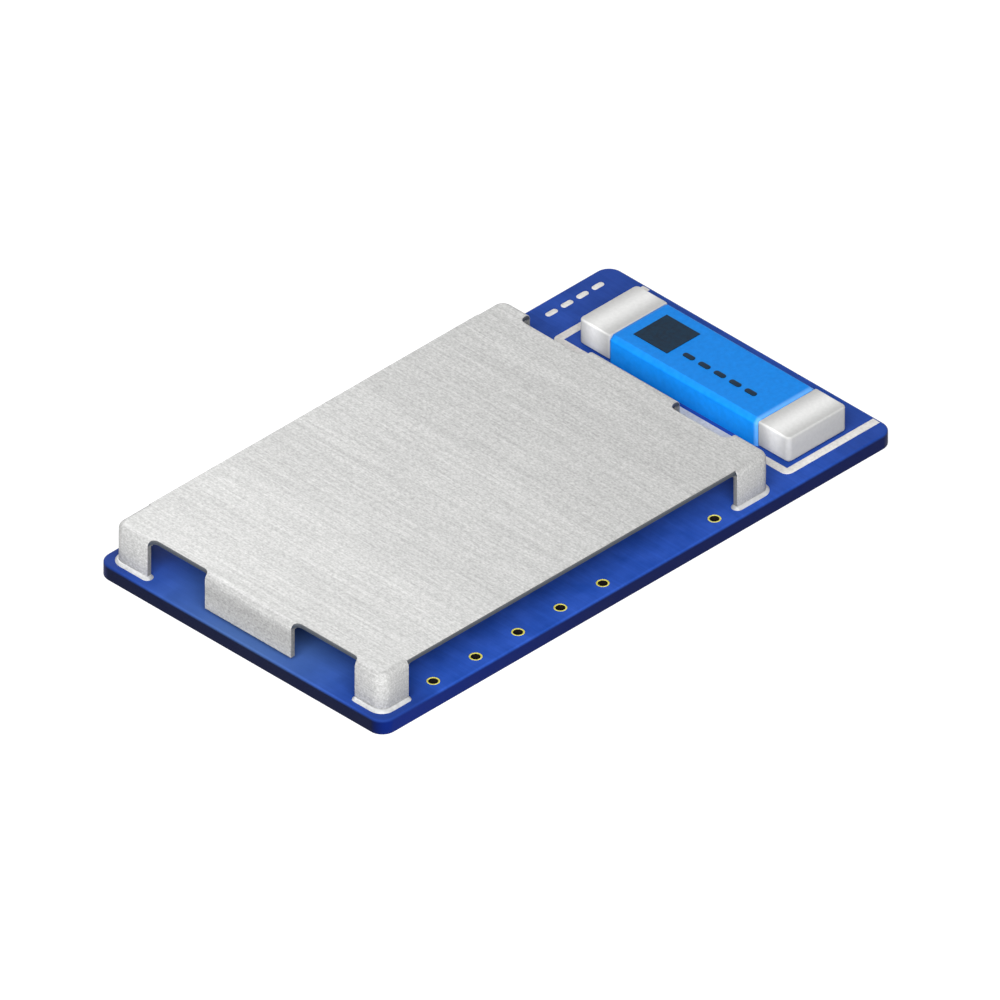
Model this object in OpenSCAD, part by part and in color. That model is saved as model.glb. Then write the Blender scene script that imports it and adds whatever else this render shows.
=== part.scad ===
// Surface-mount radio module: a circuit board with a metal shield can over its chips and a
// chip antenna on its bare end. Lengths are in millimetres. X runs along the board towards the
// antenna, Y across it, and the underside lies on Z = 0.

/* [Board] */
// Length of the board
board_l = 15.6; // [14.5:0.1:18]
// Width of the board
board_w = 8.7; // [8:0.1:10]
// Thickness of the board
board_t = 0.38; // [0.3:0.01:0.8]
// Radius of the board's corners
board_corner_r = 0.35; // [0.1:0.01:0.42]
// Thickness of the copper lands and rings
copper_t = 0.03; // [0.02:0.005:0.05]
// Thickness of printed ink
ink_t = 0.015; // [0.01:0.005:0.03]

/* [Vias] */
// Finished hole of a via
via_hole_d = 0.2; // [0.15:0.01:0.22]
// Wall of a via's copper barrel
via_wall = 0.025; // [0.015:0.005:0.03]
// Outer diameter of the ring round a via
via_ring_d = 0.3; // [0.29:0.01:0.4]
// Distance from the board's side to the row of vias
via_inset = 0.38; // [0.3:0.01:0.45]
// Distance from the board's front end to the first via
via_first = 1.93; // [1.6:0.01:2.3]
// Spacing of the vias in a row
via_pitch = 1.29; // [1:0.01:1.4]
// Number of vias in a row
via_count = 5; // [2:1:5]
// Step from a row's last via to the single via beyond it
via_step = 3.4; // [1:0.05:3.6]

/* [Underside lands] */
// Width of a land along its row
land_w = 0.7; // [0.4:0.05:0.9]
// Length of a land across its row
land_l = 0.9; // [0.5:0.05:1.1]
// Spacing of the lands in a row
land_pitch = 1.3; // [1.1:0.05:1.4]
// Number of lands along each side
side_land_count = 8; // [4:1:9]
// Number of lands along the front end
end_land_count = 4; // [2:1:4]
// Gap between a land and what lies beside it
land_gap = 0.08; // [0.05:0.01:0.15]
// Width of the square ground land
ground_land_w = 3.2; // [2:0.1:4]

/* [Shield can] */
// Gap from the board's front end to the can
can_front_gap = 0.25; // [0.15:0.01:0.5]
// Gap from the board's side to the can
can_side_gap = 0.27; // [0.15:0.01:0.4]
// Length of the bare end of the board, from the can to the far edge
bare_end_l = 3.5; // [3.4:0.05:4.5]
// Height of the can above the board
can_h = 1; // [0.9:0.01:1.6]
// Thickness of the can's sheet
sheet_t = 0.12; // [0.08:0.01:0.14]
// Inner radius of the bend from the top into a wall
bend_inner_r = 0.03; // [0.01:0.01:0.05]
// Outer radius of an upright corner
can_corner_r = 0.26; // [0.22:0.01:0.4]
// Reach of the two narrow legs along both of their sides
narrow_leg_l = 0.83; // [0.6:0.01:1.2]
// Reach of the two wide legs, in the other two corners
wide_leg_l = 1.02; // [0.6:0.01:1.2]
// Width of the tab in the middle of a short side
tab_w = 2.62; // [1.5:0.01:3.2]
// Gap between a tab and the board
tab_gap = 0.11; // [0.05:0.01:0.4]
// Depth of the notches beside the front tab
notch_front_d = 0.18; // [0.16:0.01:0.4]
// Depth of the notches beside the far tab
notch_far_d = 0.34; // [0.16:0.01:0.4]
// Radius at the roots of the tabs and legs, beside the notches
root_r = 0.17; // [0.05:0.01:0.22]
// Setback of the top's cut edge from a long wall's outer face
edge_setback = 0.06; // [0.01:0.01:0.07]
// Fillet between a leg and the top along a long side
leg_fillet_r = 0.14; // [0.05:0.01:0.2]
// Reach of the solder beyond a foot
solder_w = 0.08; // [0.03:0.01:0.1]
// Height of the solder at a foot
solder_h = 0.07; // [0.04:0.01:0.15]
// Reach of the solder's upper rim beyond a foot
solder_rim_w = 0.015; // [0.005:0.005:0.025]

/* [Chip antenna] */
// Length of the antenna, across the board
antenna_l = 6.4; // [5.5:0.01:6.8]
// Width of the antenna's end caps, along the board
antenna_w = 1.78; // [1.4:0.01:1.9]
// Height of the antenna's end caps
antenna_h = 0.64; // [0.5:0.01:0.8]
// Length of an end cap
cap_l = 0.95; // [0.6:0.01:1.2]
// Wall of an end cap
cap_wall = 0.08; // [0.075:0.005:0.12]
// Radius of an end cap's edges
cap_edge_r = 0.07; // [0.03:0.005:0.07]
// How far the coated middle stands proud of the caps
coat_t = 0.02; // [0.01:0.005:0.06]
// Bevel of the coated middle's edges
coat_bevel = 0.1; // [0.04:0.01:0.15]
// Gap from the board's far edge to the antenna
antenna_end_gap = 0.78; // [0.6:0.01:1]
// Gap from the board's side to the antenna
antenna_side_gap = 0.67; // [0.6:0.01:1]

/* [Print] */
// Width of the line round the antenna
line_w = 0.2; // [0.1:0.01:0.25]
// Gap between the line and the antenna's front
line_front_gap = 0.13; // [0.1:0.01:0.25]
// Gap between the line and the antenna's plain end
line_plain_gap = 0.08; // [0.06:0.01:0.15]
// Gap between the line and the antenna's feed end
line_feed_gap = 0.32; // [0.1:0.01:0.4]
// Outer corner radius of the line
line_corner_r = 0.18; // [0.05:0.01:0.3]
// Width of the square mark on the antenna
mark_w = 1.02; // [0.6:0.01:1.2]
// Gap between the square mark and the feed end's cap
mark_gap = 0.34; // [0.2:0.01:0.6]
// Length of a printed dash
dash_l = 0.32; // [0.2:0.01:0.4]
// Width of a printed dash
dash_w = 0.14; // [0.08:0.01:0.2]
// Gap between dashes
dash_gap = 0.15; // [0.1:0.01:0.25]
// Number of dashes on the antenna
antenna_dash_count = 5; // [2:1:6]
// Gap between the square mark and the dashes
dash_mark_gap = 0.26; // [0.15:0.01:0.4]
// Number of dashes on the board
board_dash_count = 4; // [2:1:4]
// Distance from the board's far edge to the dashes on the board
board_dash_end = 0.6; // [0.4:0.05:1]
// Place of the dashes on the board, from the line (0) to the board's side (1)
board_dash_place = 0.62; // [0.3:0.01:0.7]

/* [Parts under the can] */
// Width of the square radio chip
chip_w = 4; // [3:0.1:5]
// Height of the radio chip
chip_h = 0.55; // [0.4:0.01:0.7]
// Leads on each side of the radio chip
chip_lead_count = 8; // [4:1:8]
// Spacing of the radio chip's leads
chip_lead_pitch = 0.4; // [0.3:0.01:0.42]
// Width of the pad in the middle of the radio chip
chip_pad_w = 2.4; // [1.5:0.1:2.6]
// Width of the square memory chip
memory_w = 2; // [1.6:0.1:2.4]
// Height of the memory chip
memory_h = 0.5; // [0.35:0.01:0.65]
// Leads on each of two sides of the memory chip
memory_lead_count = 3; // [2:1:4]
// Spacing of the memory chip's leads
memory_lead_pitch = 0.5; // [0.35:0.01:0.6]
// Width of a chip's lead
lead_w = 0.2; // [0.15:0.01:0.25]
// Length of a chip's lead
lead_l = 0.35; // [0.25:0.01:0.45]
// Thickness of a chip's lead
lead_t = 0.1; // [0.08:0.01:0.15]
// Length of the main crystal, along the board
crystal_l = 2; // [1.6:0.05:2.2]
// Width of the main crystal, across the board
crystal_w = 1.6; // [1.2:0.05:1.8]
// Length of the sleep crystal, across the board
sleep_l = 2; // [1.6:0.05:2.1]
// Width of the sleep crystal, along the board
sleep_w = 1.2; // [1:0.05:1.4]
// Height of a crystal's ceramic base
crystal_base_h = 0.3; // [0.2:0.01:0.45]
// Height of a crystal's metal lid
crystal_lid_h = 0.15; // [0.1:0.01:0.25]
// Margin of a lid inside its base
lid_inset = 0.12; // [0.08:0.01:0.2]
// Length of a corner land of a crystal
crystal_land_w = 0.45; // [0.3:0.01:0.5]
// Length of the band filter and of the supply coil
block_l = 1.6; // [1.2:0.05:1.7]
// Width of the band filter and of the supply coil
block_w = 0.8; // [0.6:0.05:1]
// Height of the band filter and of the supply coil
block_h = 0.6; // [0.4:0.01:0.75]
// Length of a capacitor, resistor or matching coil
small_l = 1; // [0.8:0.05:1.05]
// Width of a capacitor, resistor or matching coil
small_w = 0.5; // [0.4:0.05:0.6]
// Height of a capacitor or matching coil
small_h = 0.5; // [0.3:0.01:0.7]
// Height of a resistor
resistor_h = 0.35; // [0.25:0.01:0.5]
// Length of a plated end, as on a capacitor
end_l = 0.25; // [0.15:0.01:0.35]
// How far a plated end stands proud of its body
end_t = 0.02; // [0.01:0.005:0.03]
// Reach of a land beyond a plated end
land_reach = 0.1; // [0.05:0.01:0.12]
// Gap between columns of parts
column_gap = 0.4; // [0.3:0.05:0.6]
// Gap between parts in a column
part_gap = 0.4; // [0.3:0.05:0.5]
// Gap between the chips and the rows of small parts beside them
row_gap = 0.45; // [0.35:0.05:0.6]
// Spacing of the small parts in a row
row_pitch = 1.3; // [1.28:0.01:1.35]
// Bevel of the edges of the chips and other small parts
part_bevel = 0.03; // [0.01:0.005:0.04]

/* [Hidden] */
$fn = 64;
// How far a cutter runs past the face that it cuts
over = 0.05;
// Straight stretches in a rounded edge of an end cap, in a notch's corner and in a fillet
round_steps = 4;

front_x = -board_l / 2;
far_x = board_l / 2;
side_y = board_w / 2;
deck_z = board_t + copper_t;

can_l = board_l - can_front_gap - bare_end_l;
can_w = board_w - 2 * can_side_gap;
can_x = front_x + can_front_gap + can_l / 2;
bend_r = sheet_t + bend_inner_r;
strip_w = can_w - 2 * edge_setback;
leg_ls = [[narrow_leg_l, wide_leg_l], [wide_leg_l, narrow_leg_l]];
notch_depths = [notch_far_d, notch_front_d];

antenna_x = far_x - antenna_end_gap - antenna_w / 2;
antenna_y = -side_y + antenna_side_gap + antenna_l / 2;
coat_l = antenna_l - 2 * cap_l;
coat_w = antenna_w + 2 * coat_t;
coat_h = copper_t + antenna_h + coat_t;
coat_top = board_t + coat_h;
line_feed_y = antenna_y + antenna_l / 2 + line_feed_gap;
board_dash_y = line_feed_y + line_w + board_dash_place * (side_y - line_feed_y - line_w);

via_row = [for (i = [0:via_count - 1]) front_x + via_first + i * via_pitch];
via_xs = concat(via_row, [via_row[via_count - 1] + via_step]);
vias = [for (x = via_xs, side = [-1, 1]) [x, side * (side_y - via_inset)]];
via_drill_d = via_hole_d + 2 * via_wall;

side_land_y = side_y - via_inset - via_ring_d / 2 - land_gap - land_l / 2;
side_land_x = front_x + via_first;
end_land_x = front_x + can_front_gap + land_gap + land_l / 2;

cluster_l = chip_w + column_gap + max(crystal_l, memory_w) + column_gap + max(sleep_w, block_w);
chip_x = can_x - cluster_l / 2 + chip_w / 2;
column_x = chip_x + chip_w / 2 + column_gap + max(crystal_l, memory_w) / 2;
end_column_x = can_x + cluster_l / 2 - max(sleep_w, block_w) / 2;
memory_y = -(part_gap + crystal_w) / 2;
crystal_y = (part_gap + memory_w) / 2;
end_column_l = sleep_l + 2 * block_l + 2 * part_gap;
sleep_y = (end_column_l - sleep_l) / 2;
filter_y = sleep_y - sleep_l / 2 - part_gap - block_l / 2;
supply_y = filter_y - block_l - part_gap;

row_y = max(chip_w, memory_w + part_gap + crystal_w) / 2 + row_gap + small_w / 2;
row_names = [
    ["capacitor_1", "capacitor_2", "capacitor_3", "capacitor_4", "capacitor_5"],
    ["capacitor_6", "resistor_1", "resistor_2", "match_coil_1", "match_coil_2"]
];
row_x = (chip_x - chip_w / 2 + column_x + max(crystal_l, memory_w) / 2) / 2;
small_size = [small_l, small_w, small_h];
resistor_size = [small_l, small_w, resistor_h];
block_size = [block_l, block_w, block_h];

copper_colour = "#c9a24b";
tin_colour = "#d9d9d9";
ceramic_colour = "#cdbfa5";
mould_colour = "#26272b";
ink_colour = "#e2e0dd";

// Points of an arc, from one angle to another
function arc(centre, r, from, to) =
    [for (i = [0:round_steps])
        let (angle = from + (to - from) * i / round_steps)
        centre + r * [cos(angle), sin(angle)]];

// Rectangle with round corners, centred
module round_rectangle(l, w, r) {
    square([l - 2 * r, w], center = true);
    square([l, w - 2 * r], center = true);
    for (x = [-1, 1], y = [-1, 1])
        translate([x * (l / 2 - r), y * (w / 2 - r)])
            circle(r);
}

// Rectangle whose corners are cut by straight stretches along a radius, centred
module stepped_rectangle(l, w, r, steps) {
    polygon([for (quarter = [0:3], i = [0:steps])
        let (
            angle = 90 * (quarter + i / steps),
            sx = quarter == 0 || quarter == 3 ? 1 : -1,
            sy = quarter < 2 ? 1 : -1
        )
        [sx * (l / 2 - r), sy * (w / 2 - r)] + r * [cos(angle), sin(angle)]]);
}

// Block that stands on Z = 0 with all its edges eased: one step is a bevel, more steps a rounding
module eased_block(size, r, steps = 1) {
    intersection() {
        linear_extrude(size.z)
            stepped_rectangle(size.x, size.y, r, steps);
        translate([0, size.y / 2, size.z / 2])
            rotate([90, 0, 0])
                linear_extrude(size.y)
                    stepped_rectangle(size.x, size.z, r, steps);
        translate([-size.x / 2, 0, size.z / 2])
            rotate([90, 0, 90])
                linear_extrude(size.x)
                    stepped_rectangle(size.y, size.z, r, steps);
    }
}

// Plate that stands on Z = 0
module plate(l, w, t) {
    linear_extrude(t)
        square([l, w], center = true);
}

// A corner of a rectangle: x and y are 0 towards +X and +Y, and 1 on the other side
module at_corner(x, y) {
    mirror([x, 0, 0])
        mirror([0, y, 0])
            children();
}

// The same shape in all four corners of a rectangle
module four_corners() {
    for (x = [0, 1], y = [0, 1])
        at_corner(x, y)
            children();
}

// Section through a via's barrel with its two rings
module via_section(inner_d) {
    polygon([
        [inner_d / 2, 0],
        [via_ring_d / 2, 0],
        [via_ring_d / 2, copper_t],
        [via_drill_d / 2, copper_t],
        [via_drill_d / 2, board_t - copper_t],
        [via_ring_d / 2, board_t - copper_t],
        [via_ring_d / 2, board_t],
        [inner_d / 2, board_t]
    ]);
}

module at_side_lands() {
    for (i = [0:side_land_count - 1], side = [-1, 1])
        translate([side_land_x + i * land_pitch, side * side_land_y, 0])
            children();
}

module at_end_lands() {
    for (i = [0:end_land_count - 1])
        translate([end_land_x, (i - (end_land_count - 1) / 2) * land_pitch, 0])
            children();
}

module circuit_board() {
    pocket_t = copper_t + over;
    color("#2a4ca3")
        difference() {
            linear_extrude(board_t)
                round_rectangle(board_l, board_w, board_corner_r);
            for (place = vias)
                translate(place)
                    rotate_extrude()
                        via_section(0);
            translate([0, 0, -over]) {
                at_side_lands()
                    plate(land_w, land_l, pocket_t);
                at_end_lands()
                    plate(land_l, land_w, pocket_t);
                translate([chip_x, 0, 0])
                    plate(ground_land_w, ground_land_w, pocket_t);
            }
        }
}

module via_barrels() {
    color("#c8cd5a")
        for (place = vias)
            translate(place)
                rotate_extrude()
                    via_section(via_hole_d);
}

module side_lands() {
    color(copper_colour)
        at_side_lands()
            plate(land_w, land_l, copper_t);
}

module end_lands() {
    color(copper_colour)
        at_end_lands()
            plate(land_l, land_w, copper_t);
}

module ground_land() {
    color(copper_colour)
        translate([chip_x, 0, 0])
            plate(ground_land_w, ground_land_w, copper_t);
}

// Section through a wall of the can, outwards from where its bend starts
module wall_section() {
    intersection() {
        translate([0, can_h - bend_r])
            difference() {
                circle(bend_r);
                circle(bend_r - sheet_t);
            }
        translate([0, can_h - bend_r])
            square(bend_r);
    }
    translate([bend_r - sheet_t, 0])
        square([sheet_t, can_h - bend_r]);
}

// Upright corner of the can, with the legs' parts along a long side
module can_corner(leg_l) {
    translate([can_l / 2 - can_corner_r, can_w / 2 - can_corner_r, 0])
        rotate_extrude(angle = 90) {
            translate([can_corner_r - bend_r, 0])
                wall_section();
            translate([0, can_h - sheet_t])
                square([can_corner_r - bend_r, sheet_t]);
        }
    translate([can_l / 2 - leg_l, can_w / 2 - bend_r, 0])
        rotate([90, 0, 90])
            linear_extrude(leg_l - can_corner_r)
                wall_section();
    translate([can_l / 2 - leg_l, can_w / 2 - edge_setback, can_h - sheet_t])
        rotate([90, 0, 0])
            linear_extrude(sheet_t - edge_setback)
                polygon(concat([[0, 0]], arc([-leg_fillet_r, -leg_fillet_r], leg_fillet_r, 0, 90)));
}

// Short wall of the can before it is notched, on the side towards +X
module can_short_wall() {
    translate([can_l / 2 - bend_r, 0, 0])
        rotate([90, 0, 0])
            linear_extrude(can_w - 2 * can_corner_r, center = true)
                wall_section();
}

// Notch between the tab and a leg, with round corners in the top
module can_notch(depth, leg_l) {
    inner_x = can_l / 2 - depth;
    outer_x = can_l / 2 + root_r;
    tab_y = tab_w / 2;
    leg_y = can_w / 2 - leg_l;
    bend_z = can_h - bend_r;
    translate([0, 0, bend_z])
        linear_extrude(bend_r + over)
            polygon(concat(
                [[outer_x, tab_y]],
                arc([inner_x + root_r, tab_y + root_r], root_r, 270, 180),
                arc([inner_x + root_r, leg_y - root_r], root_r, 180, 90),
                [[outer_x, leg_y]]
            ));
    translate([inner_x, tab_y, -over])
        cube([depth + over, leg_y - tab_y, bend_z + over]);
}

module shield_can() {
    color("#d6d6d6")
        translate([can_x, 0, board_t])
            difference() {
                union() {
                    translate([0, 0, can_h - sheet_t])
                        linear_extrude(sheet_t) {
                            square([can_l - 2 * bend_r, can_w - 2 * can_corner_r], center = true);
                            square([can_l - 2 * can_corner_r, can_w - 2 * bend_r], center = true);
                            for (side = [-1, 1])
                                translate(side / 2 * [wide_leg_l - narrow_leg_l, strip_w / 2])
                                    square([can_l - wide_leg_l - narrow_leg_l, strip_w / 2], center = true);
                        }
                    for (x = [0, 1], y = [0, 1])
                        at_corner(x, y)
                            can_corner(leg_ls[x][y]);
                    for (x = [0, 1])
                        mirror([x, 0, 0])
                            can_short_wall();
                }
                for (x = [0, 1], y = [0, 1])
                    at_corner(x, y)
                        can_notch(notch_depths[x], leg_ls[x][y]);
                for (x = [-1, 1])
                    translate([x * can_l / 2, 0, -over])
                        plate(2 * bend_r, tab_w + 2 * over, tab_gap + over);
            }
}

// Half section through the solder at a foot, outwards from the middle of the sheet
module solder_half_section() {
    polygon([
        [0, 0],
        [sheet_t / 2 + solder_w, 0],
        [sheet_t / 2 + solder_rim_w, solder_h],
        [0, solder_h]
    ]);
}

module solder_section() {
    solder_half_section();
    mirror([1, 0])
        solder_half_section();
}

// Straight stretch of solder along a foot, with a round end, towards +Y
module solder_run(l) {
    rotate([90, 0, 180])
        linear_extrude(l)
            solder_section();
    translate([0, l, 0])
        rotate_extrude(angle = 180)
            solder_half_section();
}

// Plan of one foot of the can
module foot_plan(run_l) {
    difference() {
        circle(can_corner_r);
        circle(can_corner_r - sheet_t);
        translate([-2 * can_corner_r, -can_corner_r])
            square(2 * can_corner_r);
        translate([-can_corner_r, -2 * can_corner_r])
            square(2 * can_corner_r);
    }
    translate([can_corner_r - sheet_t, -run_l])
        square([sheet_t, run_l]);
    translate([-run_l, can_corner_r - sheet_t])
        square([run_l, sheet_t]);
}

// Solder along both walls of one foot, round the upright corner at the origin
module foot_solder(run_l) {
    middle_r = can_corner_r - sheet_t / 2;
    difference() {
        union() {
            rotate_extrude(angle = 90)
                translate([middle_r, 0])
                    solder_section();
            translate([middle_r, 0, 0])
                rotate(180)
                    solder_run(run_l - sheet_t / 2);
            translate([0, middle_r, 0])
                rotate(90)
                    solder_run(run_l - sheet_t / 2);
        }
        translate([0, 0, -over])
            linear_extrude(solder_h + 2 * over)
                foot_plan(run_l);
    }
}

module shield_solder() {
    color("#eceef2")
        translate([can_x, 0, board_t])
            for (x = [0, 1], y = [0, 1])
                at_corner(x, y)
                    translate([can_l / 2 - can_corner_r, can_w / 2 - can_corner_r, 0])
                        foot_solder(leg_ls[x][y] - can_corner_r);
}

module at_antenna() {
    translate([antenna_x, antenna_y, board_t])
        children();
}

// Ceramic core that runs from cap to cap inside the antenna
module antenna_core() {
    translate([0, 0, copper_t + cap_wall])
        plate(antenna_w - 2 * cap_wall, antenna_l - 2 * cap_wall, antenna_h - 2 * cap_wall);
}

module antenna_bar() {
    color("#1c8aed")
        at_antenna() {
            intersection() {
                translate([0, 0, -coat_bevel])
                    eased_block([coat_w, coat_l, coat_h + coat_bevel], coat_bevel);
                plate(coat_w, coat_l, coat_h);
            }
            antenna_core();
        }
}

// End cap of the antenna: side is 1 at the feed end and -1 at the plain end
module antenna_cap(side) {
    color("#dedede")
        at_antenna()
            difference() {
                translate([0, side * (antenna_l - cap_l) / 2, copper_t])
                    eased_block([antenna_w, cap_l, antenna_h], cap_edge_r, round_steps);
                antenna_core();
            }
}

module antenna_lands() {
    color(copper_colour)
        at_antenna()
            for (side = [-1, 1])
                translate([0, side * (antenna_l - cap_l) / 2, 0])
                    plate(antenna_w - 2 * cap_edge_r, cap_l - 2 * cap_edge_r, copper_t);
}

// Row of plain dashes along X, centred
module dashes(count) {
    for (i = [0:count - 1])
        translate([(i - (count - 1) / 2) * (dash_l + dash_gap), 0, 0])
            plate(dash_l, dash_w, ink_t);
}

mark_y = antenna_y + coat_l / 2 - mark_gap - mark_w / 2;

module antenna_mark() {
    color("#223749")
        translate([antenna_x, mark_y, coat_top])
            plate(mark_w, mark_w, ink_t);
}

module antenna_print() {
    dashes_l = antenna_dash_count * (dash_l + dash_gap) - dash_gap;
    color("#16202c")
        translate([antenna_x - mark_w / 4, mark_y - mark_w / 2 - dash_mark_gap - dashes_l / 2, coat_top])
            rotate(90)
                dashes(antenna_dash_count);
}

// Line round three sides of the antenna, open at the board's far edge
module frame_print() {
    inner_x = antenna_x - antenna_w / 2 - line_front_gap;
    plain_y = antenna_y - antenna_l / 2 - line_plain_gap;
    low = [inner_x - line_w, plain_y - line_w];
    high = [far_x, line_feed_y + line_w];
    color(ink_colour)
        translate([0, 0, board_t])
            linear_extrude(ink_t)
                intersection() {
                    round_rectangle(board_l, board_w, board_corner_r);
                    polygon(concat(
                        [[far_x, plain_y], [inner_x, plain_y], [inner_x, line_feed_y]],
                        [[far_x, line_feed_y], high],
                        arc([low.x + line_corner_r, high.y - line_corner_r], line_corner_r, 90, 180),
                        arc(low + [line_corner_r, line_corner_r], line_corner_r, 180, 270),
                        [[far_x, low.y]]
                    ));
                }
}

module board_print() {
    dashes_l = board_dash_count * (dash_l + dash_gap) - dash_gap;
    color(ink_colour)
        translate([far_x - board_dash_end - dashes_l / 2, board_dash_y, board_t])
            dashes(board_dash_count);
}

// Row of leads along a package's edge towards +Y, whose edge lies at the given reach
module lead_row(count, pitch, reach, l, t) {
    for (i = [0:count - 1])
        translate([(i - (count - 1) / 2) * pitch, reach - lead_l + l / 2, 0])
            plate(lead_w, l, t);
}

module chip_leads(l, t) {
    for (angle = [0:90:270])
        rotate(angle)
            lead_row(chip_lead_count, chip_lead_pitch, chip_w / 2, l, t);
    plate(chip_pad_w, chip_pad_w, t);
}

module memory_leads(l, t) {
    for (angle = [0, 180])
        rotate(angle)
            lead_row(memory_lead_count, memory_lead_pitch, memory_w / 2, l, t);
}

module at_chip() {
    translate([chip_x, 0, deck_z])
        children();
}

module at_memory() {
    translate([column_x, memory_y, deck_z])
        children();
}

module radio_chip() {
    color(mould_colour)
        at_chip()
            difference() {
                eased_block([chip_w, chip_w, chip_h], part_bevel);
                chip_leads(lead_l, lead_t);
            }
}

module radio_chip_leads() {
    color(tin_colour)
        at_chip()
            chip_leads(lead_l, lead_t);
}

module memory_chip() {
    color(mould_colour)
        at_memory()
            difference() {
                eased_block([memory_w, memory_w, memory_h], part_bevel);
                memory_leads(lead_l, lead_t);
            }
}

module memory_chip_leads() {
    color(tin_colour)
        at_memory()
            memory_leads(lead_l, lead_t);
}

module crystal_base(l, w) {
    color(ceramic_colour)
        eased_block([l, w, crystal_base_h], part_bevel);
}

module crystal_lid(l, w) {
    color(tin_colour)
        translate([0, 0, crystal_base_h])
            eased_block([l - 2 * lid_inset, w - 2 * lid_inset, crystal_lid_h], part_bevel);
}

module crystal_lands(l, w) {
    four_corners()
        translate([(l - crystal_land_w) / 2, (w - crystal_land_w) / 2, 0])
            plate(crystal_land_w, crystal_land_w, copper_t);
}

module at_main_crystal(z) {
    translate([column_x, crystal_y, z])
        children();
}

module at_sleep_crystal(z) {
    translate([end_column_x, sleep_y, z])
        rotate(90)
            children();
}

module at_filter(z) {
    translate([end_column_x, filter_y, z])
        rotate(90)
            children();
}

module at_supply(z) {
    translate([end_column_x, supply_y, z])
        rotate(90)
            children();
}

// Body of a part with two plated ends, which lies along X
module two_end_body(size) {
    translate([0, 0, end_t])
        eased_block([size.x - 2 * end_l, size.y - 2 * end_t, size.z - 2 * end_t], part_bevel);
}

module two_ends(size) {
    color(tin_colour)
        for (side = [-1, 1])
            translate([side * (size.x - end_l) / 2, 0, 0])
                eased_block([end_l, size.y, size.z], part_bevel);
}

module two_end_lands(size) {
    for (side = [-1, 1])
        translate([side * (size.x - end_l + land_reach) / 2, 0, 0])
            plate(end_l + land_reach, size.y, copper_t);
}

// Place in the two rows of small parts: row 0 lies towards -Y and row 1 towards +Y
module at_row(row, i, z) {
    translate([row_x + (i - (len(row_names[row]) - 1) / 2) * row_pitch, (2 * row - 1) * row_y, z])
        children();
}

function is_resistor(name) = name[0] == "r";
function size_of(name) = is_resistor(name) ? resistor_size : small_size;
function colour_of(name) = is_resistor(name) ? mould_colour : name[0] == "c" ? ceramic_colour : "#8fa3b8";

module component_lands() {
    color(copper_colour) {
        translate([chip_x, 0, board_t])
            chip_leads(lead_l + land_reach, copper_t);
        translate([column_x, memory_y, board_t])
            memory_leads(lead_l + land_reach, copper_t);
        at_main_crystal(board_t)
            crystal_lands(crystal_l, crystal_w);
        at_sleep_crystal(board_t)
            crystal_lands(sleep_l, sleep_w);
        at_filter(board_t)
            two_end_lands(block_size);
        at_supply(board_t)
            two_end_lands(block_size);
        for (row = [0, 1], i = [0:len(row_names[row]) - 1])
            at_row(row, i, board_t)
                two_end_lands(size_of(row_names[row][i]));
    }
}

module main_crystal_base() {
    at_main_crystal(deck_z)
        crystal_base(crystal_l, crystal_w);
}

module main_crystal_lid() {
    at_main_crystal(deck_z)
        crystal_lid(crystal_l, crystal_w);
}

module sleep_crystal_base() {
    at_sleep_crystal(deck_z)
        crystal_base(sleep_l, sleep_w);
}

module sleep_crystal_lid() {
    at_sleep_crystal(deck_z)
        crystal_lid(sleep_l, sleep_w);
}

module band_filter() {
    color("#e6e2d6")
        at_filter(deck_z)
            two_end_body(block_size);
}

module band_filter_ends() {
    at_filter(deck_z)
        two_ends(block_size);
}

module supply_coil() {
    color("#55565a")
        at_supply(deck_z)
            two_end_body(block_size);
}

module supply_coil_ends() {
    at_supply(deck_z)
        two_ends(block_size);
}

circuit_board();
via_barrels();
side_lands();
end_lands();
ground_land();
component_lands();
antenna_lands();
frame_print();
board_print();
shield_can();
shield_solder();
antenna_bar();
antenna_cap(1);  // antenna_feed_cap
antenna_cap(-1);  // antenna_plain_cap
antenna_mark();
antenna_print();
radio_chip();
radio_chip_leads();
memory_chip();
memory_chip_leads();
main_crystal_base();
main_crystal_lid();
sleep_crystal_base();
sleep_crystal_lid();
band_filter();
band_filter_ends();
supply_coil();
supply_coil_ends();
for (row = [0, 1], i = [0:len(row_names[row]) - 1]) {
    name = row_names[row][i];
    color(colour_of(name))
            at_row(row, i, deck_z)
                two_end_body(size_of(name));
    at_row(row, i, deck_z)
            two_ends(size_of(name));
}
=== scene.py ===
# %% [markdown]
# # A radio module, dressed for the camera
# The object is a circuit board the size of a fingernail. A folded metal can covers its chips, and
# a chip antenna sits on its bare end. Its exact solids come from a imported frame, in metres. A
# plain way to dress it would be to colour those solids and stop. Here the pieces that the eye
# meets first get new meshes with soft edges, and every other solid gets a material that matches
# what it is.

# %% Load the frame
from math import pi, radians

import bmesh
import bpy
from mathutils import Matrix, Vector
from mathutils.bvhtree import BVHTree


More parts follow.
